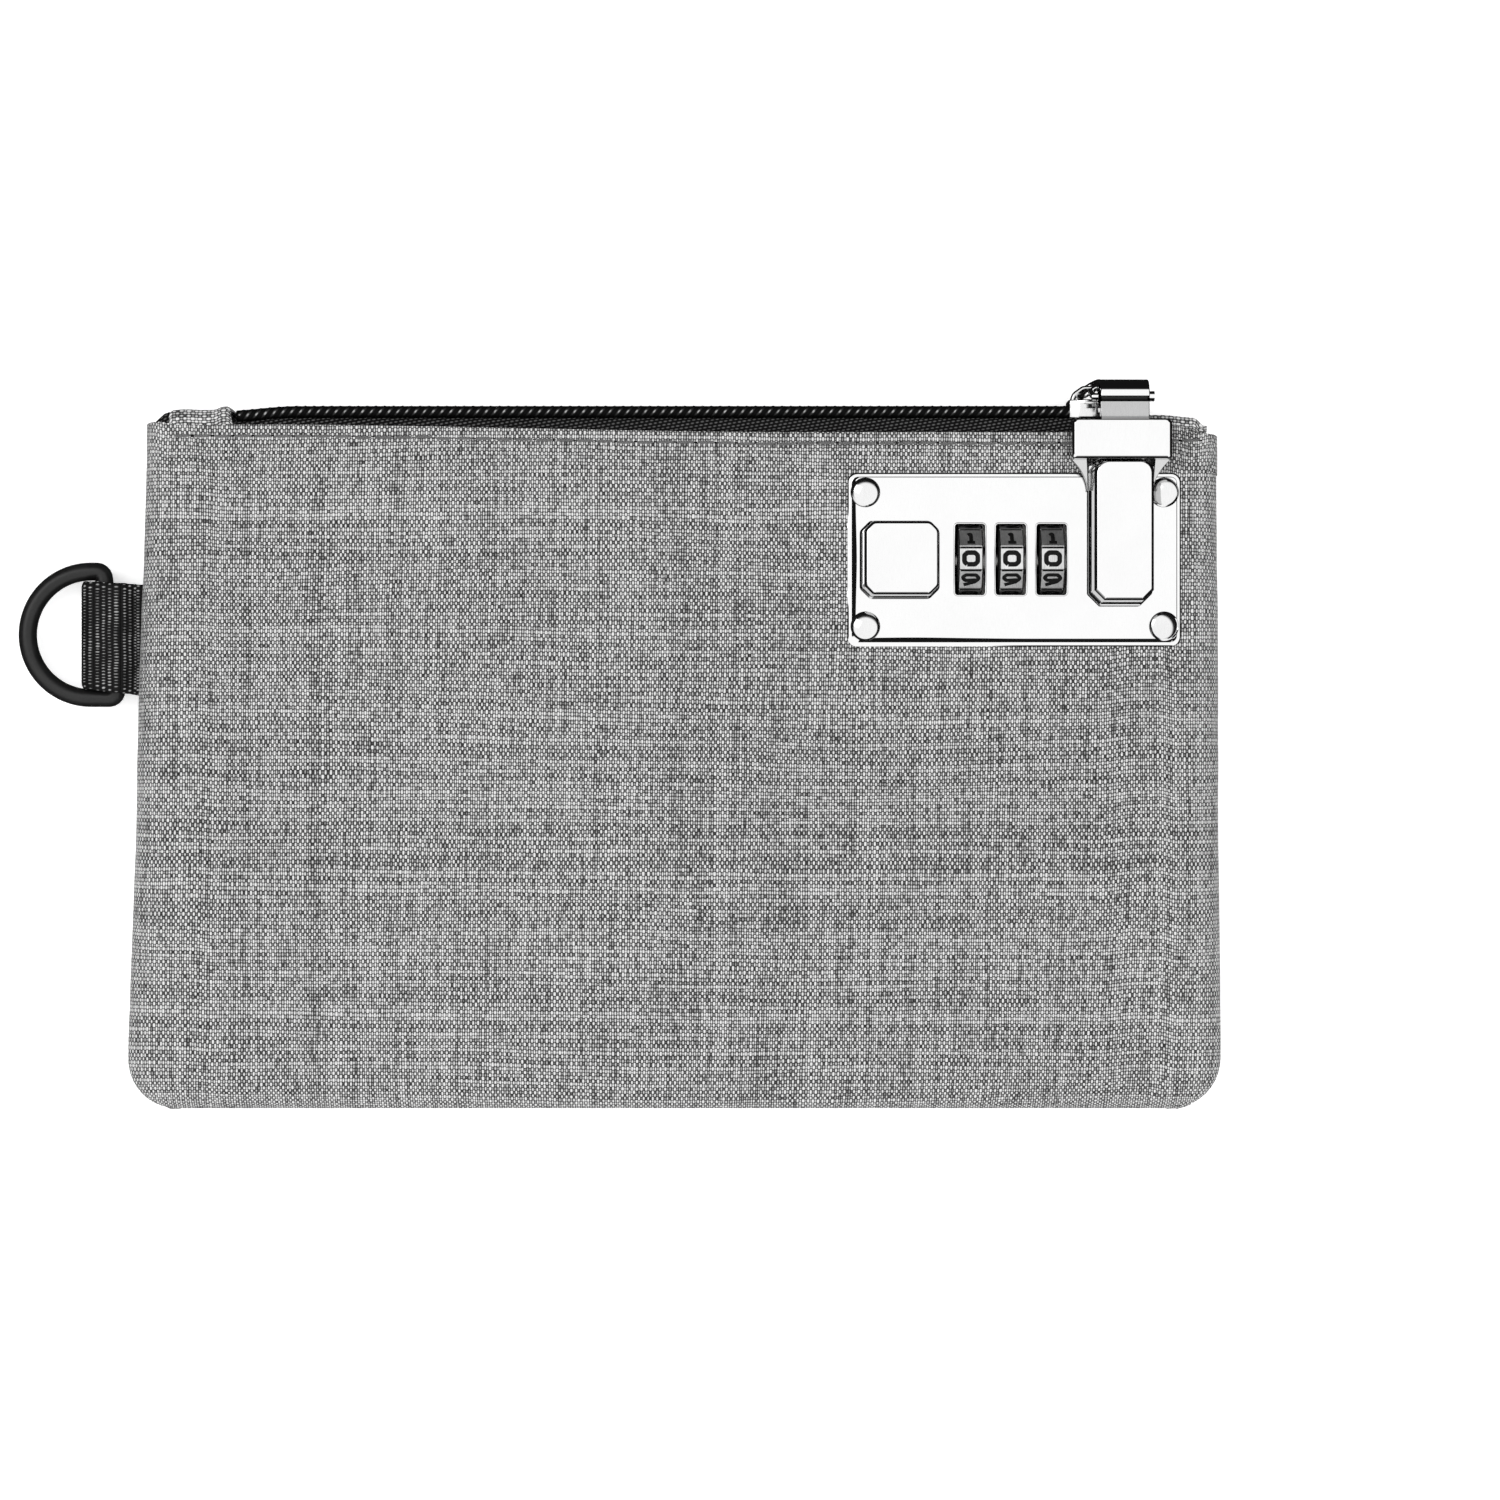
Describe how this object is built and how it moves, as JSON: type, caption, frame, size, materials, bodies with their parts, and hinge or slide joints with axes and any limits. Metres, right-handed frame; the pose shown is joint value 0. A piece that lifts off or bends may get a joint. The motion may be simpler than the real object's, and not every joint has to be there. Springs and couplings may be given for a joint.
{
  "type": "cash deposit bag",
  "caption": "Zip-top cash bag in grey woven fabric, with a combination lock that holds the zipper's puller and a D-ring on a webbing loop.",
  "frame": {"origin": "centre of the flat back face that the bag lies on", "axes": "+X along the bag's width towards the lock, +Y towards the zipper, +Z out of the front face"},
  "size_m": [0.2259, 0.1369, 0.0208],
  "materials": {
    "melange_fabric": "plain melange weave, matt",
    "zipper_tape": "black twill tape",
    "zipper_coil": "black nylon coil, half gloss",
    "webbing": "black ribbed webbing",
    "lock_chrome": "polished chrome plate",
    "rivet_chrome": "polished domed heads",
    "puller_chrome": "polished die casting",
    "slider_metal": "nickel plate",
    "dial_metal": "satin nickel faces, black filled engraving",
    "steel": "plain pressed steel",
    "ring_black": "matt black paint"
  },
  "bodies": {
    "bag": {"front_panel": "melange_fabric", "back_panel": "melange_fabric", "zipper_tape_front": "zipper_tape", "zipper_tape_back": "zipper_tape", "zipper_coil_front": "zipper_coil", "zipper_coil_back": "zipper_coil", "zipper_stops": "zipper_coil", "end_tab_left": "melange_fabric", "end_tab_right": "melange_fabric", "webbing_loop": "webbing", "lock_face_plate": "lock_chrome", "lock_rivets": "rivet_chrome", "clamp_plate": "steel", "lock_case": "steel", "dial_axle": "steel", "gate_lever": "steel", "detent_spring": "steel", "return_spring": "steel"},
    "slider": {"slider_body": "slider_metal", "slider_bail": "slider_metal"},
    "eye_link": {"eye_pin": "slider_metal"},
    "puller": {"puller_head": "puller_chrome", "puller_tongue": "puller_chrome"},
    "button_slide_unit": {"release_button": "puller_chrome", "lock_bar": "steel"},
    "ring": {"d_ring": "ring_black"},
    "number_wheel_1": {"dial_1": "dial_metal", "code_sleeve_1": "steel"},
    "number_wheel_2": {"dial_2": "dial_metal", "code_sleeve_2": "steel"},
    "number_wheel_3": {"dial_3": "dial_metal", "code_sleeve_3": "steel"}
  },
  "joints": [
    {"name": "slider_travel", "type": "slide", "parent": "bag", "child": "slider", "axis": [-1, 0, 0], "range_m": [0, 0.152]},
    {"name": "link_swing", "type": "hinge", "parent": "slider", "child": "eye_link", "pos_m": [0.0779, 0.0693, 0.0075], "axis": [-1, 0, 0], "range_deg": [0, 137]},
    {"name": "puller_lift", "type": "hinge", "parent": "eye_link", "child": "puller", "pos_m": [0.0835, 0.06695, 0.0152], "axis": [1, 0, 0], "range_deg": [-110, 0]},
    {"name": "button_slide", "type": "slide", "parent": "bag", "child": "button_slide_unit", "axis": [-1, 0, 0], "range_m": [0, 0.002], "stiffness_N_per_m": 300, "springref_m": -0.002, "deforming": ["return_spring"]},
    {"name": "d_ring_swing", "type": "hinge", "parent": "bag", "child": "ring", "pos_m": [-0.105, 0.02285, 0.0045], "axis": [0, 1, 0], "range_deg": [-9, 120]},
    {"name": "dial_1_spin", "type": "hinge", "parent": "bag", "child": "number_wheel_1", "pos_m": [0.05515, 0.0368, 0.011], "axis": [1, 0, 0], "continuous": true},
    {"name": "dial_2_spin", "type": "hinge", "parent": "bag", "child": "number_wheel_2", "pos_m": [0.0627, 0.0368, 0.011], "axis": [1, 0, 0], "continuous": true},
    {"name": "dial_3_spin", "type": "hinge", "parent": "bag", "child": "number_wheel_3", "pos_m": [0.07025, 0.0368, 0.011], "axis": [1, 0, 0], "continuous": true}
  ],
  "couplings": [
    {"joint": "link_swing", "follows": "slider_travel", "rad_per_m": 15.708}
  ]
}
